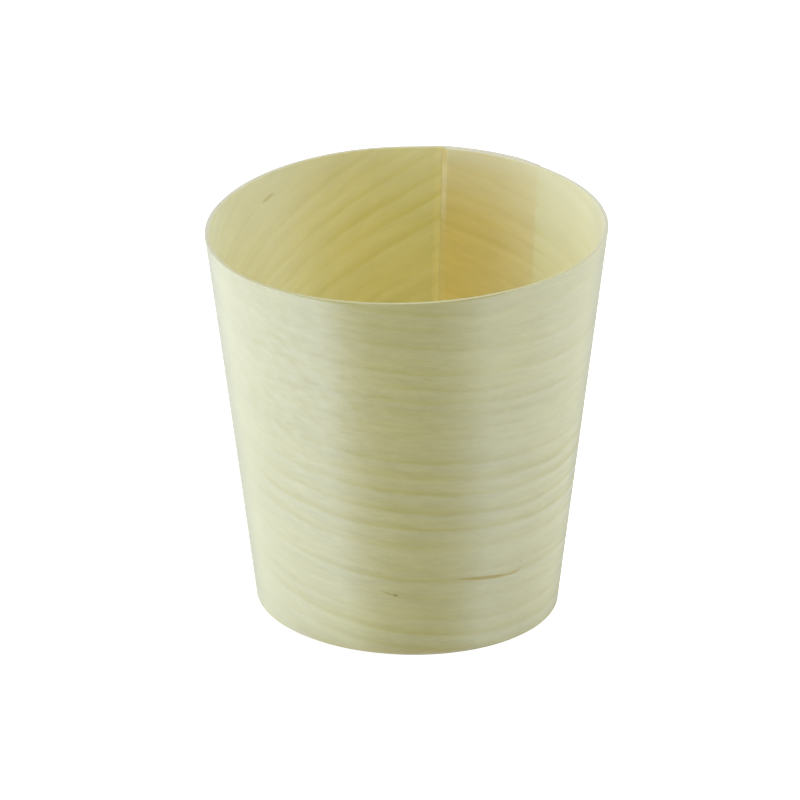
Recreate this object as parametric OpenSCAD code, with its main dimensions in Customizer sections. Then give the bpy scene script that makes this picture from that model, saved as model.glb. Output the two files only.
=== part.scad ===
// Tapered serving cup rolled from one sheet of pale wood veneer.
// The sheet's ends lap over each other at the seam, and a flat disc glued inside closes the foot.
// Frame: the centre of the foot is the origin, +Z points up and -Y is the front.

/* [Cup] */
// Outside diameter of the rim, as rolled
rim_d = 60; // [52:1:80]
// Outside diameter of the foot, as rolled
foot_d = 45; // [36:1:50]
// Height from the foot to the rim
cup_h = 60; // [40:1:90]

/* [Veneer sheet] */
// Thickness of the veneer
veneer_t = 0.6; // [0.4:0.05:1.2]
// Direction of the sheet's inner end, anticlockwise from +X
seam_a = 79.5; // [0:0.1:359]
// Width of the lap, measured along the rim
lap_w = 16.5; // [8:0.5:40]
// Width of the bevel shaved on each end of the sheet
skive_w = 0.85; // [0.2:0.05:3]
// Thickness left at the tip of each bevel
skive_tip = 0.12; // [0.05:0.01:0.3]
// Thickness of the glue line in the lap
lap_glue = 0.05; // [0.02:0.01:0.2]

/* [Springing of the wall] */
// How far the rim's long radius springs out of round
rim_oval = 0.62; // [0:0.01:1.5]
// Direction of the rim's long diameter, anticlockwise from +X
rim_oval_a = 52.6; // [-90:0.1:90]
// How far the rim springs out into three slight corners
rim_lobe = 0.4; // [0:0.01:1]
// Direction of the first of those corners
rim_lobe_a = 97.6; // [0:0.1:120]
// How far the foot's long radius springs out of round
foot_oval = 0.6; // [0:0.01:1]
// Direction of the foot's long diameter
foot_oval_a = -34.8; // [-90:0.1:90]

/* [Base disc] */
// Thickness of the base disc
base_t = 1.2; // [0.6:0.1:4]
// Height of the disc's underside above the foot
base_recess = 2; // [0.5:0.25:8]
// Thickness of the glue line round the disc's edge
base_glue = 0.05; // [0.02:0.01:0.2]

/* [Smoothness] */
// Facets round the cup
turn_steps = 180; // [96:12:240]

/* [Hidden] */
// Taper of the wall, and the sheet's thickness as a level cut through the sloping wall shows it
taper_a = atan((rim_d - foot_d) / 2 / cup_h);
wall_t = veneer_t / cos(taper_a);
// Rise of the outer layer over the inner one where the sheet laps itself
lap_rise = wall_t + lap_glue;
// The lap and the bevels as angles, since both ends of the fan sheet run straight up the cone
lap_a = lap_w / (rim_d / 2) * 180 / PI;
skive_a = skive_w / (rim_d / 2) * 180 / PI;
// Angle between two stations of the rolled sheet
step_a = 360 / turn_steps;
// Height of sheet that is trimmed off level below the foot and above the rim
trim_h = 1;
// The whole sheet as an angle wound about the cup, one turn and the lap
wound_a = 360 + lap_a;

// Radius of the rim's and the foot's outside in a direction, before the lap is added
function rim_r(a) = rim_d / 2 + rim_oval * cos(2 * (a - rim_oval_a)) + rim_lobe * cos(3 * (a - rim_lobe_a));
function foot_r(a) = foot_d / 2 + foot_oval * cos(2 * (a - foot_oval_a));

// Radius of the wall's inside in a direction and at a height, before the lap is added
function inside_r(a, z) = foot_r(a) + (rim_r(a) - foot_r(a)) * z / cup_h - wall_t;

// How far the sheet lies outside its first turn: it leaves that turn along a straight tangent,
// so that after one whole turn it has climbed onto its own inner end
function climb(w, z) =
    let (r = inside_r(seam_a, z))
    let (climb_a = acos(r / (r + lap_rise)))
    let (past = w - (360 - climb_a))
    w >= 360 ? lap_rise : past <= 0 ? 0 : r * (1 / cos(past) - 1);

// What the bevels shave off the inside at the inner end and off the outside at the outer end
function shaved(from_end) = max(0, 1 - from_end / skive_a) * (wall_t - skive_tip);

// A point of the sheet: wound by w from its inner end, at height z, on its inner or its outer face
function sheet_point(w, z, outer) =
    let (a = seam_a - w)
    let (face_r = outer ? wall_t - shaved(wound_a - w) : shaved(w))
    let (r = inside_r(a, z) + climb(w, z) + face_r)
    [r * cos(a), r * sin(a), z];

// Where the sheet is sectioned: at both bevels, at the top of the climb and evenly between
stations = concat(
    [0],
    [for (w = skive_a; w < 360; w = w + step_a) w],
    [for (w = 360; w < wound_a - skive_a; w = w + step_a) w],
    [wound_a - skive_a, wound_a]
);

// Two triangles that close the four-cornered patch between two neighbouring sections
function patch(near_1, near_2, far_1, far_2) = [[near_1, near_2, far_2], [near_1, far_2, far_1]];

// The veneer sheet, rolled up from low_z to high_z: each station has four corners,
// inside and outside below, outside and inside above
module rolled_sheet(low_z, high_z) {
    corners = [for (w = stations)
        each [sheet_point(w, low_z, false), sheet_point(w, low_z, true),
              sheet_point(w, high_z, true), sheet_point(w, high_z, false)]];
    last = 4 * (len(stations) - 1);
    sides = [for (i = [0 : len(stations) - 2]) for (k = [0 : 3])
        each patch(4 * i + k, 4 * i + (k + 1) % 4, 4 * i + 4 + k, 4 * i + 4 + (k + 1) % 4)];
    polyhedron(corners, concat([[3, 2, 1, 0]], sides, [[last, last + 1, last + 2, last + 3]]), convexity = 6);
}

// The outline of the wall's inside at a height, drawn in by a clearance
module inside_outline(z, clearance) {
    polygon([for (i = [0 : turn_steps - 1])
        let (a = i * step_a, r = inside_r(a, z) - clearance)
        [r * cos(a), r * sin(a)]]);
}

// The rolled sheet, trimmed level so that it stands on a flat foot and ends in a flat rim
module wall() {
    color("palegoldenrod") intersection() {
        rolled_sheet(-trim_h, cup_h + trim_h);
        translate([-rim_d, -rim_d, 0]) cube([2 * rim_d, 2 * rim_d, cup_h]);
    }
}

// A punched disc with a square edge, wedged in the taper and glued round its lower corner
module base_disc() {
    color("wheat") translate([0, 0, base_recess])
        linear_extrude(base_t) inside_outline(base_recess, base_glue);
}

wall();
base_disc();
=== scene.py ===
"""A small serving cup rolled from one sheet of pale wood veneer, on a plain white table.

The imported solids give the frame. This script replaces the rolled wall and the base disc with
finer meshes of the same form, and gives both a veneer finish whose grain runs straight on the
flat sheet, so that it climbs and dips as the sheet is rolled.
"""
import logging
import math
from collections.abc import Iterable
from dataclasses import dataclass
from enum import Enum

import bmesh
import bpy
from mathutils import Matrix, Vector

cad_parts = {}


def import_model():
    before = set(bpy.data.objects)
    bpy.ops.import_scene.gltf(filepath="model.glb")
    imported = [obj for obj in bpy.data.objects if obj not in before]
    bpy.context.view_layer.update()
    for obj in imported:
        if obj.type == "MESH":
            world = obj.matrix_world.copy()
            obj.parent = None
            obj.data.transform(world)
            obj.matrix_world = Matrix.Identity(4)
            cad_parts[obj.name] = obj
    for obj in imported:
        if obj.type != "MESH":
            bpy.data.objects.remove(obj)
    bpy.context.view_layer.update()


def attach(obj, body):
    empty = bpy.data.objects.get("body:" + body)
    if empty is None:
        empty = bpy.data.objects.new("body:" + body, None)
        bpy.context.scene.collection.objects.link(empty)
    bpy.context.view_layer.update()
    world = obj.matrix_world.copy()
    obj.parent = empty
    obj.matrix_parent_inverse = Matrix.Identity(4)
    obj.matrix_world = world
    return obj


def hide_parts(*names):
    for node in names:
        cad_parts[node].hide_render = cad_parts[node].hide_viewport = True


LOG = logging.getLogger("cup")
MM = 0.001
SHEET_ATTRIBUTE = "sheet"
ROLL_ATTRIBUTE = "roll"
WHITE = (1.0, 1.0, 1.0, 1.0)
Colour = tuple[float, float, float, float]
Span = tuple[float, float]


class Face(Enum):
    """The side of the sheet that a mark lies on, as its depth through the sheet."""

    INSIDE = 0.0
    OUTSIDE = 1.0


class Signal:
    """A shader socket that can be used in a Python expression."""

    def __init__(self, bench: "Bench", socket: bpy.types.NodeSocket) -> None:
        """Keep the socket and the bench that it belongs to."""
        self.bench = bench
        self.socket = socket

    def _math(self, operation: str, first: object, second: object = 0.0) -> "Signal":
        """Add a Math node for two values or signals, and return its result."""
        return self.bench.node("ShaderNodeMath", {"operation": operation}, {0: first, 1: second})

    def __add__(self, other: object) -> "Signal":
        """Return self + other."""
        return self._math("ADD", self, other)

    def __radd__(self, other: object) -> "Signal":
        """Return other + self."""
        return self._math("ADD", other, self)

    def __sub__(self, other: object) -> "Signal":
        """Return self - other."""
        return self._math("SUBTRACT", self, other)

    def __rsub__(self, other: object) -> "Signal":
        """Return other - self."""
        return self._math("SUBTRACT", other, self)

    def __mul__(self, other: object) -> "Signal":
        """Return self * other."""
        return self._math("MULTIPLY", self, other)

    def __rmul__(self, other: object) -> "Signal":
        """Return other * self."""
        return self._math("MULTIPLY", other, self)

    def __truediv__(self, other: object) -> "Signal":
        """Return self / other."""
        return self._math("DIVIDE", self, other)

    def __rtruediv__(self, other: object) -> "Signal":
        """Return other / self."""
        return self._math("DIVIDE", other, self)

    def __abs__(self) -> "Signal":
        """Return the absolute value."""
        return self._math("ABSOLUTE", self)

    def root(self) -> "Signal":
        """Return the square root."""
        return self._math("SQRT", self)


class Bench:
    """The node tree of one material or of the world."""

    def __init__(self, block: bpy.types.Material | bpy.types.World) -> None:
        """Start the node tree afresh.

        Args:
            block: the material or the world.
        """
        block.use_nodes = True
        self.block = block
        self.tree = block.node_tree
        self.tree.nodes.clear()

    @classmethod
    def of_material(cls, name: str) -> "Bench":
        """Start a new material."""
        return cls(bpy.data.materials.new(name))

    def node(self, kind: str, settings: dict, sockets: dict, output: int | str = 0) -> Signal | None:
        """Add any node.

        Args:
            kind: the node's type.
            settings: its properties, or a ramp's stops, set before its sockets.
            sockets: values or signals by the input's name or number.
            output: the output to return.

        Returns:
            The chosen output, or nothing where the node has none.
        """
        node = self.tree.nodes.new(kind)
        for key, value in settings.items():
            if key == "stops":
                self.set_stops(node.color_ramp, value)
            else:
                setattr(node, key, value)
        for key, value in sockets.items():
            if isinstance(value, Signal):
                self.tree.links.new(value.socket, node.inputs[key])
            else:
                node.inputs[key].default_value = value
        return Signal(self, node.outputs[output]) if node.outputs else None

    @staticmethod
    def set_stops(ramp: bpy.types.ColorRamp, stops: list[tuple[float, float]]) -> None:
        """Set a smooth ramp of greys.

        Args:
            ramp: the ramp.
            stops: its places and values, at most 32, from low to high.
        """
        ramp.interpolation = "EASE"
        while len(ramp.elements) < len(stops):
            ramp.elements.new(1.0)
        for element, (spot, value) in zip(ramp.elements, stops):
            element.position = spot
            element.color = (value, value, value, 1.0)

    def parts(self, vector: Signal) -> tuple[Signal, ...]:
        """Split a vector into its three components."""
        split = self.node("ShaderNodeSeparateXYZ", {}, {0: vector})
        return tuple(Signal(self, split.socket.node.outputs[axis]) for axis in range(3))

    def attribute(self, name: str) -> tuple[Signal, ...]:
        """Read a vector attribute of the mesh as its three components."""
        return self.parts(self.node("ShaderNodeAttribute", {"attribute_name": name}, {}, "Vector"))

    def step(self, value: Signal, low: object, high: object) -> Signal:
        """Rise smoothly from 0 where value is low to 1 where it is high."""
        ends = {"Value": value, "From Min": low, "From Max": high}
        return self.node("ShaderNodeMapRange", {"interpolation_type": "SMOOTHSTEP"}, ends)

    def fall(self, value: Signal, low: object, high: object) -> Signal:
        """Fall smoothly from 1 where value is low to 0 where it is high."""
        ends = {"Value": value, "From Min": low, "From Max": high, "To Min": 1.0, "To Max": 0.0}
        return self.node("ShaderNodeMapRange", {"interpolation_type": "SMOOTHSTEP"}, ends)

    def blend(self, factor: object, low: object, high: object, how: str = "MIX") -> Signal:
        """Blend two colours, each a tuple or a signal, from low at a factor of 0 to high at 1."""
        settings = {"data_type": "RGBA", "blend_type": how}
        return self.node("ShaderNodeMix", settings, {0: factor, 6: low, 7: high}, 2)

    def principled(self, colour: object, roughness: object, fixed: dict[str, float],
                   relief: Signal | None = None) -> Signal:
        """Add a Principled shader.

        Args:
            colour: the base colour.
            roughness: the roughness.
            fixed: the values of the sockets that are the same all over.
            relief: the normal, where the surface has a relief.

        Returns:
            The shader.
        """
        sockets = {"Base Color": colour, "Roughness": roughness, **fixed}
        if relief is not None:
            sockets["Normal"] = relief
        return self.node("ShaderNodeBsdfPrincipled", {}, sockets)

    def relief(self, height: Signal, distance: float) -> Signal:
        """Bend the normal by a height, which is a distance in metres at a signal of 1."""
        return self.node("ShaderNodeBump", {}, {"Height": height, "Distance": distance}, "Normal")

    def finish(self, shader: Signal, output: str = "ShaderNodeOutputMaterial") -> bpy.types.ID:
        """End the tree in a shader, and return the material or the world."""
        self.node(output, {}, {"Surface": shader})
        return self.block

    def seen(self) -> Signal:
        """Return 1 for what the camera sees, straight or in a mirror or through glass."""
        straight, mirrored, through = (self.node("ShaderNodeLightPath", {}, {}, f"Is {ray} Ray")
                                       for ray in ("Camera", "Glossy", "Transmission"))
        return straight + mirrored + through


@dataclass(frozen=True)
class Blots:
    """A soft noise of blots that are stretched along the grain.

    Attributes:
        length: the size of a blot along the grain, in mm.
        width: its size across the grain, in mm.
        layer: tells one noise from the next.
        detail: how many finer layers it has.
        contrast: brings the noise to about -1 to 1.
    """

    length: float
    width: float
    layer: float
    detail: float = 1.0
    contrast: float = 2.6

    def spread(self, along: Signal, across: Signal) -> Signal:
        """Spread the noise over the wood.

        Args:
            along: the place along the grain, in mm.
            across: the place across the grain, in mm.

        Returns:
            The noise, from about -1 to 1.
        """
        bench = along.bench
        axes = {0: along / self.length, 1: across / self.width, 2: self.layer}
        spot = bench.node("ShaderNodeCombineXYZ", {}, axes)
        blot = bench.node("ShaderNodeTexNoise", {}, {"Vector": spot, "Scale": 1.0, "Detail": self.detail})
        return (blot - 0.5) * self.contrast


@dataclass(frozen=True)
class PaintedSheen:
    """A painted satin sheen: the wood is painted pale where a face is seen at a slant, for the light that it
    reflects there.

    Attributes:
        colour: the colour of the painted sheen.
        grain_share: how strongly the grain shows in it, from 0 to 1.
        low: how much the face must turn away before the painted sheen starts, from 0 to 1.
        high: where it is full.
        strength: how much of the wood it covers there.
        painted_edge_shade: what the painted sheen is darkened by edge on, a painted shade along the outline.
        full: how much the face must turn away before the sheen dims, from 0 to 1.
        gone: where it is dimmest.
        roughness: the roughness of the fibres.
    """

    colour: Colour = (0.895, 0.945, 0.855, 1.0)
    grain_share: float = 0.55
    low: float = 0.139
    high: float = 0.259
    strength: float = 0.48
    painted_edge_shade: Colour = (0.76, 0.78, 0.90, 1.0)
    full: float = 0.66
    gone: float = 0.95
    roughness: float = 0.6

    def turned(self, bench: Bench, low: object, high: object) -> Signal:
        """Rise from 0 to 1 as the face turns away, where 0 is straight on and 1 edge on."""
        away = bench.node("ShaderNodeLayerWeight", {}, {"Blend": 0.5}, "Facing")
        return bench.step(away, low, high)

    def cover(self, bench: Bench, sooner: object = 0.0) -> Signal:
        """Tell how much of the wood it covers as the face turns away, full sooner by an amount."""
        return self.turned(bench, self.low, self.high - sooner) * self.strength

    def over(self, bench: Bench, wood: Signal, cover: Signal, grain: Signal, edge_shade_share: Signal) -> Signal:
        """Lay the painted sheen over a shader.

        Args:
            bench: the material's bench.
            wood: the shader of the bare wood.
            cover: how much of the wood the painted sheen covers.
            grain: the tint of the grain, which shows in the painted sheen too.
            edge_shade_share: how much of the painted edge shade it takes on, from 0 to 1.

        Returns:
            The shader of both.
        """
        colour = bench.blend(self.grain_share, self.colour, grain, "MULTIPLY")
        dimmed = bench.blend(1.0, colour, self.painted_edge_shade, "MULTIPLY")
        pale, painted_edge_shade = (bench.principled(each, self.roughness, {"Specular IOR Level": 0.0})
                     for each in (colour, dimmed))
        sheen = bench.node("ShaderNodeMixShader", {}, {0: edge_shade_share, 1: pale, 2: painted_edge_shade})
        return bench.node("ShaderNodeMixShader", {}, {0: cover, 1: wood, 2: sheen})


def tone(red: int, green: int, blue: int) -> Colour:
    """Turn a colour as it looks on a screen into a linear colour for a shader."""
    levels = [value / 255 for value in (red, green, blue)]
    return (*(v / 12.92 if v <= 0.04045 else ((v + 0.055) / 1.055) ** 2.4 for v in levels), 1.0)


@dataclass(frozen=True)
class Ring:
    """One late growth ring, a darker line along the sheet.

    Attributes:
        across: where its darkest part lies, in mm from the point of the fan.
        above: how far it fades out towards the rim, in mm.
        below: how far it fades out towards the foot, in mm.
        depth: how dark it is, from 0 to 1.
    """

    across: float
    above: float
    below: float
    depth: float


RINGS = tuple(Ring(*sizes) for sizes in (
    (238.4, 1.0, 0.7, 0.60), (235.5, 0.6, 0.5, 0.25), (232.4, 0.7, 0.5, 0.50), (228.1, 1.2, 0.5, 0.75),
    (225.6, 0.8, 0.5, 0.60), (223.5, 0.6, 0.6, 0.60), (221.3, 0.5, 0.5, 0.30), (219.0, 0.6, 0.5, 0.40),
    (217.5, 0.6, 0.5, 0.30), (213.3, 1.0, 0.6, 0.65), (210.8, 1.1, 1.1, 0.85), (208.2, 0.8, 0.6, 1.00),
    (205.0, 1.0, 0.5, 0.85), (202.3, 0.9, 0.7, 1.00), (199.0, 1.0, 0.6, 0.75), (195.0, 0.6, 0.6, 0.30),
    (193.3, 0.8, 0.6, 0.70), (190.3, 0.6, 0.5, 0.30), (187.0, 0.9, 0.6, 0.60), (184.4, 1.2, 0.8, 0.90),
    (181.6, 0.9, 0.6, 0.50), (178.5, 1.0, 0.6, 0.70), (174.9, 1.0, 0.6, 0.55), (171.8, 0.8, 0.5, 0.80),
    (168.6, 1.0, 0.6, 0.60), (165.1, 0.9, 0.5, 0.85), (161.6, 1.1, 0.7, 0.65), (158.2, 0.8, 0.6, 0.75),
    (154.7, 1.0, 0.6, 0.60), (151.5, 0.8, 0.5, 0.70),
))


@dataclass(frozen=True)
class Mark:
    """A natural fleck or streak in the sheet, by its centre and half its sizes in mm.

    Attributes:
        tilt: its slope against the grain, in degrees.
        tint: what it tints the wood by.
        face: the face that it lies on.
    """

    along: float
    across: float
    half_length: float
    half_width: float
    tilt: float
    tint: Colour
    face: Face


RESIN = (0.80, 0.675, 0.31, 1.0)
MARKS = (
    Mark(-10.7, 193.31, 5.2, 0.41, -3.9, RESIN, Face.OUTSIDE),
    Mark(-5.95, 193.14, 1.45, 0.28, 5.5, (0.82, 0.72, 0.42, 1.0), Face.OUTSIDE),
    Mark(-9.6, 193.28, 2.6, 0.28, -3.9, (0.90, 0.86, 0.74, 1.0), Face.OUTSIDE),
    Mark(-4.86, 194.67, 0.40, 0.22, 0.0, (0.82, 0.82, 0.80, 1.0), Face.OUTSIDE),
    Mark(-24.5, 190.26, 0.42, 0.24, -8.0, (0.60, 0.60, 0.50, 1.0), Face.OUTSIDE),
    Mark(-25.7, 190.46, 1.40, 0.17, -9.0, (0.84, 0.83, 0.77, 1.0), Face.OUTSIDE),
    Mark(-94.15, 218.72, 1.75, 0.46, 11.0, (0.77, 0.71, 0.50, 1.0), Face.INSIDE),
)


@dataclass(frozen=True)
class Cup:
    """The cup's sizes, in metres and degrees, and the form of its rolled sheet.

    The angles run anticlockwise from +X, seen from above. The sheet is measured by the angle
    that it has wound clockwise from its inner end. The inner end stands at seam_a.
    Both ends are skived, that is bevelled, down to skive_tip. The rim and the foot are a little
    out of round, as an oval that is longest at its angle, and the rim in three lobes too. The
    straight grain runs level at level_grain_a.
    """

    rim_d: float = 60 * MM
    foot_d: float = 45 * MM
    height: float = 60 * MM
    veneer_t: float = 0.6 * MM
    seam_a: float = 79.5
    lap_w: float = 16.5 * MM
    skive_w: float = 0.85 * MM
    outer_skive_w: float = 4.5 * MM
    skive_tip: float = 0.12 * MM
    lap_glue: float = 0.05 * MM
    climb_bend: float = 0.19 * MM
    rim_oval: float = 0.62 * MM
    rim_oval_a: float = 52.6
    rim_lobe: float = 0.4 * MM
    rim_lobe_a: float = 97.6
    foot_oval: float = 0.6 * MM
    foot_oval_a: float = -34.8
    level_grain_a: float = -35.0

    @property
    def taper(self) -> float:
        """The slope of the wall against upright, in radians."""
        return math.atan2((self.rim_d - self.foot_d) / 2, self.height)

    @property
    def wall_t(self) -> float:
        """The sheet's thickness as a level cut through the sloping wall shows it."""
        return self.veneer_t / math.cos(self.taper)

    @property
    def lap_a(self) -> float:
        """The angle of the lap."""
        return math.degrees(self.lap_w / (self.rim_d / 2))

    @property
    def skive_a(self) -> float:
        """The angle of the bevel on the sheet's inner end."""
        return math.degrees(self.skive_w / (self.rim_d / 2))

    @property
    def outer_skive_a(self) -> float:
        """The angle of the longer bevel that fades the sheet's outer end out."""
        return math.degrees(self.outer_skive_w / (self.rim_d / 2))

    @property
    def wound_a(self) -> float:
        """The whole sheet's angle, one turn and the lap."""
        return 360 + self.lap_a

    @staticmethod
    def swing(angle: float, away: float, turns: int) -> float:
        """Swing between -1 and 1 so many times a turn, with a peak at one angle."""
        return math.cos(math.radians(turns * (angle - away)))

    def inside_r(self, angle: float, z: float) -> float:
        """The radius of the wall's inside, before the lap is added.

        Args:
            angle: the direction.
            z: the height.

        Returns:
            The radius.
        """
        rim = self.rim_d / 2 + self.rim_oval * self.swing(angle, self.rim_oval_a, 2)
        rim += self.rim_lobe * self.swing(angle, self.rim_lobe_a, 3)
        foot = self.foot_d / 2 + self.foot_oval * self.swing(angle, self.foot_oval_a, 2)
        return foot + (rim - foot) * z / self.height - self.wall_t

    def climb(self, wound: float, z: float) -> float:
        """How far the sheet has climbed off its first turn onto its own inner end.

        It leaves the turn along a tangent, and bends softly where it meets the inner end.

        Args:
            wound: the angle wound from the inner end.
            z: the height.

        Returns:
            The distance, which is 0 until shortly before one whole turn.
        """
        rise = self.wall_t + self.lap_glue
        radius = self.inside_r(self.seam_a, z)
        past = wound - (360 - math.degrees(math.acos(radius / (radius + rise))))
        if past <= 0:
            return 0.0
        tangent = radius * (1 / math.cos(math.radians(past)) - 1)
        near = max(0.0, 1 - abs(tangent - rise) / self.climb_bend)
        return min(tangent, rise) - near * near * self.climb_bend / 4

    def rolled(self, wound: float, z: float, depth: float) -> Vector:
        """Roll one point of the flat sheet up into the cup.

        Args:
            wound: the angle wound from the inner end.
            z: the height.
            depth: 0 on the inner face, 1 on the outer face.

        Returns:
            The point in the cup.
        """
        bevel = self.wall_t - self.skive_tip
        inner = max(0.0, 1 - wound / self.skive_a) * bevel
        outer = self.wall_t - max(0.0, 1 - (self.wound_a - wound) / self.outer_skive_a) * bevel
        angle = self.seam_a - wound
        radius = self.inside_r(angle, z) + self.climb(wound, z) + inner + (outer - inner) * depth
        turn = math.radians(angle)
        return Vector((radius * math.cos(turn), radius * math.sin(turn), z))

    def unrolled(self, wound: float, z: float) -> tuple[float, float]:
        """Where a point lies on the flat sheet.

        Args:
            wound: the angle wound from the inner end.
            z: the height.

        Returns:
            Its place along and across the grain, in mm from the point of the fan.
        """
        slant = math.sin(self.taper)
        from_tip = (self.foot_d / 2 + z * math.tan(self.taper)) / slant / MM
        fan = math.radians(self.seam_a - self.level_grain_a - wound) * slant
        return from_tip * math.sin(fan), from_tip * math.cos(fan)


@dataclass(frozen=True)
class Place:
    """Where a point of the wall lies on its sheet, as signals, with distances in mm.

    Attributes:
        bench: the material's bench.
        along: the place along the grain.
        across: the place across the grain, from the point of the fan.
        depth: 0 on the inner face, 1 on the outer.
        turned: how far round the cup it is from the inner end, measured at the rim.
        height: the height above the foot.
        inner: 1 on the inner face, 0 on the outer.
        outer: 1 on the outer face, 0 on the inner.
        doubled: 1 on the inner face where two layers lie over each other.
        bevel: 1 on the bevel of the inner end.
    """

    bench: Bench
    along: Signal
    across: Signal
    depth: Signal
    turned: Signal
    height: Signal
    inner: Signal
    outer: Signal
    doubled: Signal
    bevel: Signal

    @classmethod
    def read(cls, bench: Bench, cup: Cup) -> "Place":
        """Read the place from the attributes of the wall's mesh.

        Args:
            bench: the material's bench.
            cup: the cup, whose sizes place the lap and the bevel.

        Returns:
            The place.
        """
        along, across, depth = bench.attribute(SHEET_ATTRIBUTE)
        turned, height, wound = bench.attribute(ROLL_ATTRIBUTE)
        lap, skive, blur = cup.lap_w / MM, cup.skive_w / MM, 0.45
        inner = bench.fall(depth, 0.3, 0.7)
        doubled = bench.fall(wound, lap - blur, lap + blur) * inner
        bevel = bench.fall(wound, skive * 0.8, skive * 1.1) * inner
        return cls(bench, along, across, depth, turned, height, inner, 1.0 - inner, doubled, bevel)

    def noise(self, blots: Blots) -> Signal:
        """Spread a noise over the sheet."""
        return blots.spread(self.along, self.across)


@dataclass(frozen=True)
class Patch:
    """A soft oval patch of the sheet, by its middle and half its sizes in mm."""

    along: float
    across: float
    half_length: float
    half_width: float

    def weight(self, place: Place) -> Signal:
        """Weigh a place of the sheet.

        Args:
            place: the place.

        Returns:
            1 in the middle of the patch, 0 outside it.
        """
        x = (place.along - self.along) / self.half_length
        y = (place.across - self.across) / self.half_width
        return place.bench.fall((x * x + y * y).root(), 0.3, 1.2)


@dataclass(frozen=True)
class Area:
    """A part of the wall with soft edges, each a span in mm over which it fades.

    Attributes:
        start: where it fades in round the cup, measured as turned.
        end: where it fades out round the cup.
        bottom: where it fades in above the foot.
        top: where it fades out above the foot.
    """

    start: Span | None = None
    end: Span | None = None
    bottom: Span | None = None
    top: Span | None = None

    def weight(self, place: Place) -> Signal:
        """Weigh a place of the wall.

        Args:
            place: the place.

        Returns:
            1 well within the area, 0 outside it.
        """
        bench = place.bench
        fades = ((bench.step, place.turned, self.start), (bench.fall, place.turned, self.end),
                 (bench.step, place.height, self.bottom), (bench.fall, place.height, self.top))
        first, *others = (fade(value, *span) for fade, value, span in fades if span)
        return math.prod(others, start=first)


@dataclass(frozen=True)
class Tint(Area):
    """An area of the wall where light or shade is painted onto the wood.

    Attributes:
        colour: what the wood is multiplied by, above 1 for painted light and below 1 for painted shade.
    """

    colour: Colour = WHITE

    def over(self, place: Place, wood: Signal, share: Signal) -> Signal:
        """Paint the light or shade onto the wood, or a share of it, and return its colour."""
        return place.bench.blend(self.weight(place) * share, wood, self.colour, "MULTIPLY")


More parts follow.
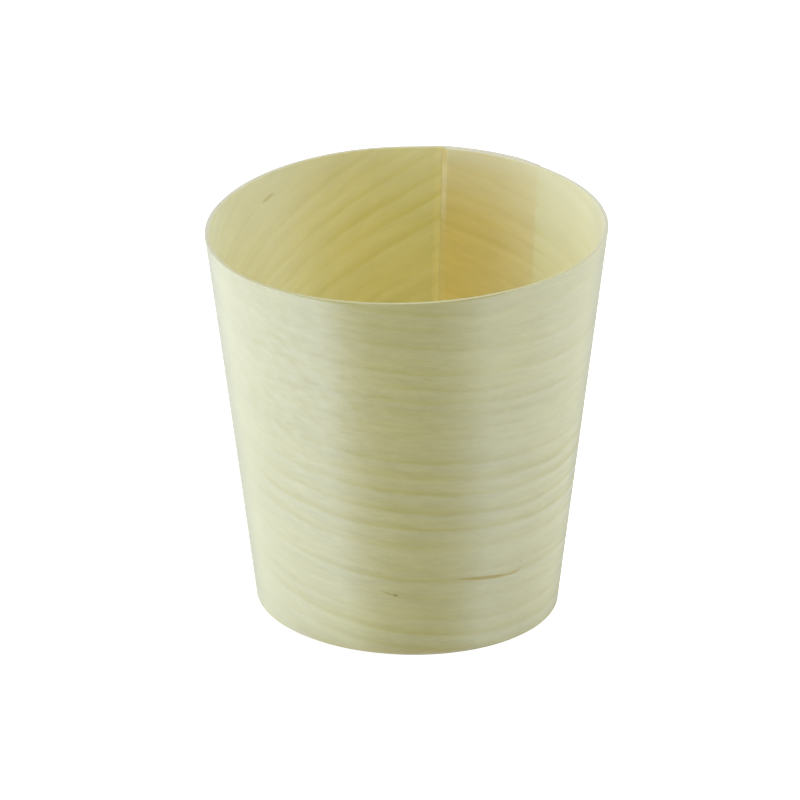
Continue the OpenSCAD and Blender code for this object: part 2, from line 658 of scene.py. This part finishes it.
@dataclass(frozen=True)
class Grain:
    """The grain of the veneer: growth rings, broken dark dashes, fibres, flecks and streaks.

    Attributes:
        late: what the late wood of the rings is tinted by.
        shade: what the fibres are shaded by.
        patches: the noise by which the rings are strong here and weak there.
        curly: the curly patch at the upper left, mottled and with weak rings.
        flecked: the patch high on the front with darker dashes.
        faded: where along the grain the rings grow stronger, in mm.
        ramp_rings: how many rings share one ramp.
        light_line: how light the line below a ring is, as a share of its depth.
        ring_gap: the least space between two rings, in mm.
    """

    late: Colour = (0.87, 0.83, 0.54, 1.0)
    shade: Colour = (0.83, 0.83, 0.80, 1.0)
    fibres: Blots = Blots(5.0, 1.0, 4.0, 3.0)
    fuzz: Blots = Blots(1.4, 0.22, 9.0)
    patches: Blots = Blots(20.0, 4.0, 3.0)
    dashes: Blots = Blots(4.5, 0.5, 5.0)
    mottling: Blots = Blots(2.4, 1.4, 6.0, 2.0)
    wander: Blots = Blots(50.0, 16.0, 1.0, 0.0)
    ripple: Blots = Blots(7.0, 2.0, 2.0)
    ragged: Blots = Blots(1.2, 0.12, 7.0)
    curly: Patch = Patch(-52.0, 221.0, 28.0, 19.0)
    flecked: Patch = Patch(-27.0, 225.0, 17.0, 9.0)
    faded: Span = (-64.0, -36.0)
    ramp_rings: int = 10
    light_line: float = 0.32
    ring_gap: float = 0.1

    def tint(self, place: Place, fibre: Signal, lively: Signal) -> Signal:
        """Tint the wood by its grain.

        Args:
            place: the place on the sheet.
            fibre: the noise of the fibres.
            lively: how strongly the grain shows, less than 1 where the sheet is sanded smooth.

        Returns:
            The tint, which is white in the palest wood.
        """
        bench, inner = place.bench, place.inner
        patchy = place.noise(self.patches)
        curl = self.curly.weight(place)
        mottle = curl * place.noise(self.mottling)
        wander = place.noise(self.wander) * 0.5
        rings = self.rings(bench, place.across + wander + place.noise(self.ripple) * 0.30)
        rings = rings * (0.8 + patchy * 0.7) * (1.0 + inner * 0.35) * (1.0 - place.doubled * 0.45)
        rings = rings * (1.0 - curl * 0.65) * (1.0 - bench.fall(place.along, *self.faded) * 0.45)
        dashes = bench.step(place.noise(self.dashes), 0.35, 0.85)
        dashes = dashes * (0.25 + self.flecked.weight(place) * 0.65)
        late = 0.28 + (rings + dashes + mottle * 0.45) * lively
        shade = fibre * (0.55 - curl * 0.20 - inner * 0.22) + mottle * 0.25
        shade = shade + place.noise(self.fuzz) * (0.32 - inner * 0.20)
        shade = 0.35 + shade * lively + patchy * 0.28
        tint = bench.blend(shade, bench.blend(late, WHITE, self.late), self.shade, "MULTIPLY")
        return self.marks(place, tint)

    def rings(self, bench: Bench, level: Signal) -> Signal:
        """Look the growth rings up on a few ramps.

        Each ring is darkest at its lower edge, fades out upwards, and has a light line below it.

        Args:
            bench: the material's bench.
            level: the place across the grain, with its wander.

        Returns:
            About -0.3 in the lightest lines, 0 between, up to 0.5 in the darkest.
        """
        total = None
        rings = sorted(RINGS, key=lambda ring: ring.across)
        for first in range(0, len(rings), self.ramp_rings):
            group = rings[first:first + self.ramp_rings]
            low, high = group[0].across - 3 * group[0].below, group[-1].across + 2 * group[-1].above
            stops = [(low, 0.5)]
            for ring, after in zip(group, [*group[1:], None]):
                end = ring.across + ring.above
                if after:
                    end = min(end, after.across - after.below - self.ring_gap)
                stops += [(ring.across - ring.below, 0.5 - self.light_line * ring.depth),
                          (ring.across, 0.5 + 0.5 * ring.depth), (end, 0.5)]
            spot = bench.node("ShaderNodeMapRange", {}, {"Value": level, "From Min": low, "From Max": high})
            shares = [((stop - low) / (high - low), value) for stop, value in stops]
            lines = bench.node("ShaderNodeValToRGB", {"stops": shares}, {0: spot}) - 0.5
            total = lines if total is None else total + lines
        return total

    def marks(self, place: Place, tint: Signal) -> Signal:
        """Lay the flecks and streaks over the wood.

        Args:
            place: the place on the sheet.
            tint: the tint of the grain.

        Returns:
            The tint with the marks.
        """
        bench = place.bench
        ragged = place.noise(self.ragged) * 0.12
        for mark in MARKS:
            cosine, sine = math.cos(math.radians(mark.tilt)), math.sin(math.radians(mark.tilt))
            x, y = place.along - mark.along, place.across - mark.across
            run = (x * cosine + y * sine) / mark.half_length
            side = (y * cosine - x * sine) / mark.half_width
            away = (run * run + side * side).root() + ragged
            on_face = bench.fall(abs(place.depth - mark.face.value), 0.3, 0.5)
            tint = bench.blend(bench.fall(away, 0.45, 1.1) * on_face, tint, mark.tint, "MULTIPLY")
        return tint


@dataclass(frozen=True)
class VeneerFinish:
    """Sanded, uncoated pale veneer, with its grain, soft tints, painted light and shade, and a painted satin
    sheen.

    Attributes:
        outside: the colour of the wood on the outer face.
        inside: its colour on the inner face, painted paler and yellower than the outer face for the light
            that shines through the thin sheet.
        doubled: the painted shade of the inner face where two layers lie over each other.
        painted_tip_light: the painted light on the inner face that cancels the shade beside the edge of the
            inner end.
        painted_bevel_highlight: the painted highlight on the bevel of the inner end a little below the rim.
        painted_reflection: the painted reflection that lightens the inner face below the bevel's side of the
            rim.
        painted_rim_shade_right: the painted shade of the inner face at the rim on the right.
        painted_rim_light_left: the painted light, paler and bluer, on the inner face at the rim on the left.
        sallow: what the outer face is tinted by in the yellower patches.
        sallow_patches: these patches.
        painted_lower_shade: the painted shade that darkens the lower half of the outer face near the front.
        front: where the front lies along the grain, in mm.
        foot: the colour of the paler band just above the foot, painted light that the table throws up.
        calm_left: where the outer face is sanded smooth at the left.
        calm_right: where the grain is calmer at the upper right.
        inner_painted_sheen: the painted sheen of the inner face, which starts sooner and builds up slower.
        relief: how far the fibres stand out, in metres.
    """

    cup: Cup
    grain: Grain = Grain()
    outside: Colour = tone(205, 203, 156)
    inside: Colour = tone(228, 219, 152)
    doubled: Colour = (0.985, 0.885, 0.735, 1.0)
    painted_tip_light: Colour = (1.19, 1.16, 1.17, 1.0)
    painted_bevel_highlight: Tint = Tint(bottom=(47.0, 52.0), top=(55.5, 60.0), colour=(1.12, 1.20, 1.85, 1.0))
    painted_reflection: Tint = Tint(end=(20.0, 60.0), top=(45.0, 54.0), colour=(1.075, 1.06, 1.05, 1.0))
    painted_rim_shade_right: Tint = Tint((29.0, 38.0), (50.0, 70.0), (50.0, 58.0), colour=(0.87, 0.86, 0.93, 1.0))
    painted_rim_light_left: Tint = Tint((120.0, 138.0), (138.0, 152.0), (50.0, 58.0), colour=(1.06, 1.12, 1.28, 1.0))
    sallow: Colour = (1.0, 0.995, 0.86, 1.0)
    sallow_patches: tuple[Patch, Patch] = (Patch(-13.0, 231.5, 9.0, 13.0), Patch(-30.6, 181.9, 7.0, 7.0))
    painted_lower_shade: Colour = (0.962, 0.958, 0.955, 1.0)
    front: float = -25.5
    foot: Colour = tone(218, 201, 152)
    calm_left: Area = Area((108.0, 124.0), (140.0, 165.0))
    calm_right: Area = Area((16.0, 22.0), (50.0, 64.0), (30.0, 48.0))
    painted_sheen: PaintedSheen = PaintedSheen()
    inner_painted_sheen: PaintedSheen = PaintedSheen(low=0.02, high=0.385, strength=0.56)
    roughness: float = 0.5
    gloss: float = 0.03
    relief: float = 0.010 * MM

    def material(self) -> bpy.types.Material:
        """Build the material of the sheet's two faces.

        Returns:
            The material.
        """
        bench = Bench.of_material("veneer face")
        place = Place.read(bench, self.cup)
        fibre = place.noise(self.grain.fibres)
        lively = 1.0 - self.calm_left.weight(place) * place.outer * 0.75 - self.calm_right.weight(place) * 0.6
        grain = self.painted_rim_light_and_patches(place, self.grain.tint(place, fibre, lively))
        colour = bench.blend(1.0, self.bare(place), grain, "MULTIPLY")
        relief = bench.relief(fibre * lively, self.relief)
        wood = bench.principled(colour, self.roughness, {"Specular IOR Level": self.gloss}, relief)
        # Painted shade where the outer face is seen edge on.
        edge_shade_share = self.painted_sheen.turned(bench, self.painted_sheen.full, self.painted_sheen.gone) * place.outer
        return bench.finish(self.painted_sheen.over(bench, wood, self.cover(place), grain, edge_shade_share))

    def painted_rim_light_and_patches(self, place: Place, grain: Signal) -> Signal:
        """Paint shade and light onto the inner face along the rim, and tint the outer face in its yellower
        patches.

        Args:
            place: the place on the sheet.
            grain: the tint of the grain.

        Returns:
            The tint of both.
        """
        # Painted shade at the rim on the right and painted light at the rim on the left, on the inner face.
        grain = self.painted_rim_shade_right.over(place, grain, place.inner)
        grain = self.painted_rim_light_left.over(place, grain, place.inner)
        first, second = (patch.weight(place) for patch in self.sallow_patches)
        return place.bench.blend((first + second) * place.outer, grain, self.sallow, "MULTIPLY")

    def bare(self, place: Place) -> Signal:
        """Colour the bare wood of both faces, without its grain, with painted light and shade laid in.

        Args:
            place: the place on the sheet.

        Returns:
            The colour.
        """
        bench, turn = place.bench, math.pi * self.cup.rim_d / MM
        # The inner face is painted paler and yellower than the outer face, for the light that shines through
        # the thin sheet.
        colour = bench.blend(place.inner, self.outside, self.inside)
        # Painted shade: the outer face darker towards the bottom, near the front.
        lower = bench.fall(place.height, 15.0, 50.0) * bench.fall(abs(place.along - self.front), 4.0, 15.0)
        colour = bench.blend(lower * place.outer, colour, self.painted_lower_shade, "MULTIPLY")
        # Painted light: a paler band just above the foot, for the light that the table throws up.
        painted_foot_light = bench.fall(place.height, 0.2, 1.6) * bench.fall(place.along, -16.0, -4.0) * place.outer
        colour = bench.blend(painted_foot_light * 0.45, colour, self.foot)
        # Painted shade on the inner face where two layers lie over each other.
        colour = bench.blend(place.doubled, colour, self.doubled, "MULTIPLY")
        # Painted light that cancels the shade beside the edge of the inner end.
        painted_tip_light = Tint((turn - 1.5, turn - 0.1), (turn, turn + 0.3), colour=self.painted_tip_light)
        colour = painted_tip_light.over(place, colour, place.inner)
        # Painted reflection on the inner face below the bevel's side of the rim.
        colour = self.painted_reflection.over(place, colour, place.inner)
        # Painted highlight on the bevel of the inner end a little below the rim.
        return self.painted_bevel_highlight.over(place, colour, place.bevel)

    def cover(self, place: Place) -> Signal:
        """Tell how much of the wood the painted sheen covers.

        On the inner face it is strongest along the rim and weak on the bevel, and on the outer
        face it is a little stronger in the upper half.

        Args:
            place: the place on the sheet.

        Returns:
            The painted sheen's cover, from 0 to 1.
        """
        bench, height, doubled = place.bench, place.height, place.doubled
        # Painted light: the inner face is paler along the rim, more so over the lap, and less over part of
        # the back.
        rim = bench.step(height, 48.0, 57.0) * 0.13 + bench.step(height, 56.0, 60.0) * 0.15
        rim = rim * (1.0 + doubled * 0.9) * (1.0 - bench.step(place.turned, 165.0, 181.0) * 0.2)
        within = self.inner_painted_sheen.cover(bench) * (0.87 + bench.step(height, 42.0, 54.0) * 0.13)
        within = (within + rim * (1.0 - within)) * (1.0 - place.bevel * 0.75) * (1.0 - doubled * 0.15)
        # Painted sheen of the outer face, a little stronger in the upper half and towards the outline.
        upper = bench.step(height, 25.0, 52.0)
        without = self.painted_sheen.cover(bench, upper * 0.03) * (0.95 + upper * 0.14)
        without = without + self.painted_sheen.turned(bench, 0.3, 0.75) * 0.12
        return without * place.outer + within * place.inner


@dataclass(frozen=True)
class CutEdgeFinish:
    """The cut edge of the sheet, rougher than its faces, painted paler where the rounded rim catches the
    light.

    Attributes:
        wood: the colour of the edge at the front.
        pale: its colour at the sides and the back, a painted highlight.
        fibre: the colour of its darker fibres.
        foot: its colour at the foot.
        front: where the front lies, in mm round the rim from the inner end.
        relief: how far its fibres stand out, in metres.
    """

    wood: Colour = tone(182, 182, 146)
    pale: Colour = tone(187, 187, 175)
    fibre: Colour = tone(163, 157, 118)
    foot: Colour = tone(214, 208, 178)
    plies: Blots = Blots(2.4, 0.22, 11.0)
    blots: Blots = Blots(6.0, 6.0, 12.0)
    front: float = 89.0
    roughness: float = 0.7
    gloss: float = 0.3
    relief: float = 0.02 * MM

    def material(self) -> bpy.types.Material:
        """Build the material of the rim, the foot and the sheet's two ends.

        Returns:
            The material.
        """
        bench = Bench.of_material("veneer cut edge")
        along, across, depth = bench.attribute(SHEET_ATTRIBUTE)
        turned, height, _ = bench.attribute(ROLL_ATTRIBUTE)
        ply, blot = self.plies.spread(along, depth), self.blots.spread(along, across)
        # Painted light: paler, with fewer dark fibres, at the sides and the back, where the rounded rim
        # catches the light.
        sanded = bench.step(abs(turned - self.front), 22.0, 48.0)
        dark = bench.step(ply * 0.7 + blot * 0.4, -0.6, 1.4) * (1.0 - sanded * 0.6)
        colour = bench.blend(dark, bench.blend(sanded, self.wood, self.pale), self.fibre)
        colour = bench.blend(bench.fall(height, 5.0, 10.0) * (0.7 + blot * 0.3), colour, self.foot)
        relief, fixed = bench.relief(ply, self.relief), {"Specular IOR Level": self.gloss}
        return bench.finish(bench.principled(colour, self.roughness, fixed, relief))


@dataclass(frozen=True)
class DiscFinish:
    """The flat base disc: the same veneer, with its straight grain running left to right.

    Attributes:
        wood: the colour of the early wood.
        late: the colour of the late wood.
        patches: the noise by which the rings are strong here and weak there.
        ring_gap: the distance from ring to ring, in mm.
        relief: how far its fibres stand out, in metres.
    """

    wood: Colour = tone(214, 208, 156)
    late: Colour = tone(194, 180, 116)
    wander: Blots = Blots(40.0, 9.0, 21.0)
    fibres: Blots = Blots(5.0, 0.26, 22.0, 2.0)
    patches: Blots = Blots(20.0, 5.0, 23.0)
    ring_gap: float = 3.1
    roughness: float = 0.5
    gloss: float = 0.25
    relief: float = 0.010 * MM

    def material(self) -> bpy.types.Material:
        """Build the disc's material from its place in the cup.

        Returns:
            The material.
        """
        bench = Bench.of_material("veneer disc")
        metres_x, metres_y, _ = bench.parts(bench.node("ShaderNodeTexCoord", {}, {}, "Object"))
        along, across = metres_x / MM, metres_y / MM
        level = (across + self.wander.spread(along, across) * 1.1) / self.ring_gap
        ring = bench.node("ShaderNodeMath", {"operation": "FRACT"}, {0: level})
        fibre, patchy = self.fibres.spread(along, across), self.patches.spread(along, across)
        late = bench.step(ring, 0.35, 0.9) * bench.fall(ring, 0.92, 1.0) * (0.5 + patchy * 0.3)
        colour = bench.blend(late + fibre * 0.06, self.wood, self.late)
        relief, fixed = bench.relief(fibre, self.relief), {"Specular IOR Level": self.gloss}
        return bench.finish(bench.principled(colour, self.roughness, fixed, relief))


def break_corners(mesh: bmesh.types.BMesh, width: float, clamp: bool = False, sharp_a: float = 60) -> None:
    """Break the sharp corners of a mesh with a small round.

    Args:
        mesh: the mesh.
        width: how much is taken off on each side of a corner.
        clamp: whether corners that lie close together take off less.
        sharp_a: the angle from which a corner is sharp.
    """
    corners = [edge for edge in mesh.edges if edge.calc_face_angle(0.0) > math.radians(sharp_a)]
    bmesh.ops.bevel(mesh, geom=corners, offset=width, segments=2, profile=0.5,
                    affect="EDGES", material=-1, clamp_overlap=clamp)


def made_object(name: str, mesh: bmesh.types.BMesh) -> bpy.types.Object:
    """Turn a finished mesh into an object of the scene, at the origin.

    Args:
        name: the name of the object and of its mesh.
        mesh: the mesh, which is freed.

    Returns:
        The object.
    """
    data = bpy.data.meshes.new(name)
    mesh.to_mesh(data)
    mesh.free()
    piece = bpy.data.objects.new(name, data)
    bpy.context.scene.collection.objects.link(piece)
    return piece


@dataclass
class RolledWall:
    """The wall: one sheet of veneer rolled into a cone, lapped and bevelled at its seam.

    Attributes:
        columns: how many faces the flat sheet has along its length.
        rows: how many it has across its width.
        margin: how far the outermost loops lie from the rim and the foot.
        sharp_a: the angle from which an edge looks sharp.
        level: how level a face of the flat slab lies, at least, to be one of the sheet's faces.
    """

    cup: Cup
    columns: int = 500
    rows: int = 36
    margin: float = 0.35 * MM
    corner_r: float = 0.07 * MM
    sharp_a: float = 35
    level: float = 0.9
    face_slot: int = 0
    edge_slot: int = 1

    def build(self) -> bpy.types.Object:
        """Model the flat sheet as a thin slab, then roll it up.

        Returns:
            The finished wall.
        """
        cup = self.cup
        length = math.radians(cup.wound_a) * cup.rim_d / 2
        mesh = bmesh.new()
        bmesh.ops.create_grid(mesh, x_segments=self.columns, y_segments=self.rows, size=0.5)
        bmesh.ops.scale(mesh, vec=(length, cup.height, 1.0), verts=mesh.verts)
        bmesh.ops.translate(mesh, vec=(length / 2, cup.height / 2, 0.0), verts=mesh.verts)
        self.score(mesh, length)
        self.thicken(mesh)
        self.roll(mesh, length)
        wall = made_object("wall_sheet", mesh)
        wall.data.set_sharp_from_angle(angle=math.radians(self.sharp_a))
        return wall

    def score(self, mesh: bmesh.types.BMesh, length: float) -> None:
        """Cut loops along the bevels, after one whole turn and along the margins of the sheet.

        Args:
            mesh: the flat sheet.
            length: its length.
        """
        turn = math.tau * self.cup.rim_d / 2
        for place in (self.cup.skive_w, turn, length - self.cup.outer_skive_w):
            self.cut(mesh, Vector((place, 0, 0)), Vector((1, 0, 0)))
        for place in (self.margin, self.cup.height - self.margin):
            self.cut(mesh, Vector((0, place, 0)), Vector((0, 1, 0)))

    @staticmethod
    def cut(mesh: bmesh.types.BMesh, point: Vector, normal: Vector) -> None:
        """Cut one straight loop through the whole sheet."""
        geometry = [*mesh.verts, *mesh.edges, *mesh.faces]
        bmesh.ops.bisect_plane(mesh, geom=geometry, dist=1e-7, plane_co=point, plane_no=normal)

    def thicken(self, mesh: bmesh.types.BMesh) -> None:
        """Give the sheet its thickness, break its corners and tell its cut edges from its faces.

        Args:
            mesh: the flat sheet.
        """
        bmesh.ops.solidify(mesh, geom=mesh.faces[:], thickness=self.cup.wall_t)
        low = min(vertex.co.z for vertex in mesh.verts)
        bmesh.ops.translate(mesh, vec=(0.0, 0.0, -low), verts=mesh.verts)
        break_corners(mesh, self.corner_r, clamp=True)
        bmesh.ops.recalc_face_normals(mesh, faces=mesh.faces)
        for piece in mesh.faces:
            piece.smooth = True
            level = abs(piece.normal.z) > self.level
            piece.material_index = self.face_slot if level else self.edge_slot

    def roll(self, mesh: bmesh.types.BMesh, length: float) -> None:
        """Roll the slab up, and keep each point's place on the flat sheet as two attributes.

        Args:
            mesh: the flat slab.
            length: its length.
        """
        sheet = mesh.verts.layers.float_vector.new(SHEET_ATTRIBUTE)
        wind = mesh.verts.layers.float_vector.new(ROLL_ATTRIBUTE)
        for vertex in mesh.verts:
            wound = self.cup.wound_a * vertex.co.x / length
            z, depth = vertex.co.y, vertex.co.z / self.cup.wall_t
            along, across = self.cup.unrolled(wound, z)
            vertex[sheet] = Vector((along, across, depth))
            width = self.cup.foot_d + (self.cup.rim_d - self.cup.foot_d) * z / self.cup.height
            shrink = width / self.cup.rim_d
            vertex[wind] = Vector((vertex.co.x / MM, z / MM, vertex.co.x * shrink / MM))
            vertex.co = self.cup.rolled(wound, z, depth)

    def dress(self, wall: bpy.types.Object) -> None:
        """Give the wall its finishes and its place in the frame.

        Args:
            wall: the finished wall.
        """
        wall.data.materials.append(VeneerFinish(self.cup).material())
        wall.data.materials.append(CutEdgeFinish().material())
        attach(wall, "root")
        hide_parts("wall")


@dataclass
class BaseDisc:
    """The base: a punched disc of veneer wedged in the foot of the cone."""

    cup: Cup
    thickness: float = 1.2 * MM
    recess: float = 2.0 * MM
    glue: float = 0.05 * MM
    steps: int = 240
    corner_r: float = 0.1 * MM

    def build(self) -> bpy.types.Object:
        """Model the disc from a circle drawn out to the wall's inside.

        Returns:
            The finished disc.
        """
        mesh = bmesh.new()
        bmesh.ops.create_circle(mesh, cap_ends=True, segments=self.steps, radius=1.0)
        for vertex in mesh.verts:
            angle = math.degrees(math.atan2(vertex.co.y, vertex.co.x))
            vertex.co *= self.cup.inside_r(angle, self.recess) - self.glue
            vertex.co.z = self.recess
        raised = bmesh.ops.extrude_face_region(mesh, geom=mesh.faces[:], use_keep_orig=True)
        upper = [item for item in raised["geom"] if isinstance(item, bmesh.types.BMVert)]
        bmesh.ops.translate(mesh, vec=(0.0, 0.0, self.thickness), verts=upper)
        bmesh.ops.recalc_face_normals(mesh, faces=mesh.faces)
        break_corners(mesh, self.corner_r)
        for piece in mesh.faces:
            piece.smooth = len(piece.verts) <= 4
        return made_object("base_plate", mesh)

    def dress(self, disc: bpy.types.Object) -> None:
        """Give the disc its finish and its place in the frame.

        Args:
            disc: the finished disc.
        """
        disc.data.materials.append(DiscFinish().material())
        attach(disc, "root")
        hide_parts("base_disc")


@dataclass(frozen=True)
class Lamp:
    """A soft lamp, with its place and sizes in metres.

    Attributes:
        spot: where it stands or hangs.
        aim: the point that it faces.
        level: its brightness, where 1 is as bright as white.
    """

    name: str
    spot: tuple[float, float, float]
    aim: tuple[float, float, float]
    width: float
    height: float
    level: float
    colour: tuple[float, float, float] = (1.0, 1.0, 1.0)


@dataclass
class Studio:
    """The white table, the lamps and the long lens, set for a cup that stands at the origin.

    Attributes:
        camera_roll: how far the camera is turned about its own axis, in radians.
        target_px: where the middle of the cup lies in the picture.
        table_gap: how far the table lies below the foot, so that they don't share a plane.
        table_glow: how much white is added to the table where it is seen, but not as light.
        ambient: the strength of the light from all round.
    """

    cup: Cup
    camera_distance: float = 1.2
    camera_elevation: float = 24.16
    camera_roll: float = -0.0030
    focal_px: float = 8027.0
    picture_px: float = 800.0
    target_px: Span = (406.53, 409.17)
    sensor_mm: float = 36.0
    clip_start: float = 0.05
    table_r: float = 3.0
    table_gap: float = 0.02 * MM
    table_paint: Colour = (0.8, 0.8, 0.8, 1.0)
    table_glow: float = 0.6
    ambient: float = 0.27
    lamps: tuple[Lamp, ...] = (
        Lamp("left box", (-0.771, -0.136, 0.196), (0.0, 0.0, 0.03), 0.45, 0.40, 4.4, (0.985, 1.0, 1.05)),
        Lamp("front left box", (-0.379, -0.379, 0.624), (0.0, 0.0, 0.03), 0.45, 0.45, 2.59),
        Lamp("right hanging box", (0.3, 0.0, 0.35), (0.3, 0.0, 0.0), 0.30, 0.30, 4.75, (1.035, 1.0, 0.90)),
        Lamp("rear hanging box", (-0.15, 0.26, 0.35), (-0.15, 0.26, 0.0), 0.30, 0.30, 4.15),
    )

    @property
    def middle(self) -> Vector:
        """The middle of the cup, which the camera and the lamps face."""
        return Vector((0.0, 0.0, self.cup.height / 2))

    @staticmethod
    def facing(spot: Vector, aim: Vector) -> Matrix:
        """Place something at a spot so that it faces a point, and return the matrix of its place."""
        return Matrix.Translation(spot) @ (spot - aim).to_track_quat("Z", "Y").to_matrix().to_4x4()

    def add_camera(self) -> None:
        """Add the camera at the photographed angle."""
        data = bpy.data.cameras.new("camera")
        data.sensor_width = self.sensor_mm
        data.lens = self.focal_px / self.picture_px * self.sensor_mm
        data.shift_x = (self.picture_px / 2 - self.target_px[0]) / self.picture_px
        data.shift_y = (self.target_px[1] - self.picture_px / 2) / self.picture_px
        data.clip_start = self.clip_start
        camera = bpy.data.objects.new("camera", data)
        lift = math.radians(self.camera_elevation)
        spot = self.middle + Vector((0.0, -math.cos(lift), math.sin(lift))) * self.camera_distance
        camera.matrix_world = self.facing(spot, self.middle) @ Matrix.Rotation(self.camera_roll, 4, "Z")
        bpy.context.scene.collection.objects.link(camera)
        bpy.context.scene.camera = camera

    def add_lamps(self) -> None:
        """Add the soft lamps."""
        for lamp in self.lamps:
            data = bpy.data.lights.new(lamp.name, "AREA")
            data.shape = "RECTANGLE"
            data.size, data.size_y = lamp.width, lamp.height
            data.energy = lamp.level * math.pi * lamp.width * lamp.height
            data.color = lamp.colour
            light = bpy.data.objects.new(lamp.name, data)
            light.matrix_world = self.facing(Vector(lamp.spot), Vector(lamp.aim))
            light.visible_camera = False
            bpy.context.scene.collection.objects.link(light)
            LOG.info("%s: %.2f W", lamp.name, data.energy)

    def add_table(self) -> None:
        """Add the white table, which shows white and keeps the cup's shadow."""
        mesh = bmesh.new()
        bmesh.ops.create_circle(mesh, cap_ends=True, segments=64, radius=self.table_r)
        bmesh.ops.translate(mesh, vec=(0.0, 0.0, -self.table_gap), verts=mesh.verts)
        table = made_object("table", mesh)
        bench = Bench.of_material("white table")
        paint = bench.node("ShaderNodeBsdfDiffuse", {}, {"Color": self.table_paint})
        glow = bench.node("ShaderNodeEmission", {}, {"Strength": bench.seen() * self.table_glow})
        table.data.materials.append(bench.finish(bench.node("ShaderNodeAddShader", {}, {0: paint, 1: glow})))

    def add_world(self) -> None:
        """Light the scene from all round, and show white behind the cup."""
        bench = Bench(bpy.data.worlds.new("white room"))
        room, behind = (bench.node("ShaderNodeBackground", {}, {"Color": WHITE, "Strength": strength})
                        for strength in (self.ambient, 1.0))
        shader = bench.node("ShaderNodeMixShader", {}, {0: bench.seen(), 1: room, 2: behind})
        bpy.context.scene.world = bench.finish(shader, "ShaderNodeOutputWorld")

    def build(self) -> None:
        """Set up the whole studio."""
        self.add_camera()
        self.add_lamps()
        self.add_table()
        self.add_world()
        bpy.context.scene.view_settings.view_transform = "Standard"


def main() -> None:
    """Build the cup and its studio."""
    logging.basicConfig(level=logging.INFO, format="%(name)s %(message)s")
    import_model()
    cup = Cup()
    Studio(cup).build()
    for maker in (RolledWall(cup), BaseDisc(cup)):
        piece = maker.build()
        maker.dress(piece)
        LOG.info("%s: %d faces", piece.name, len(piece.data.polygons))


if __name__ == "__main__":
    main()
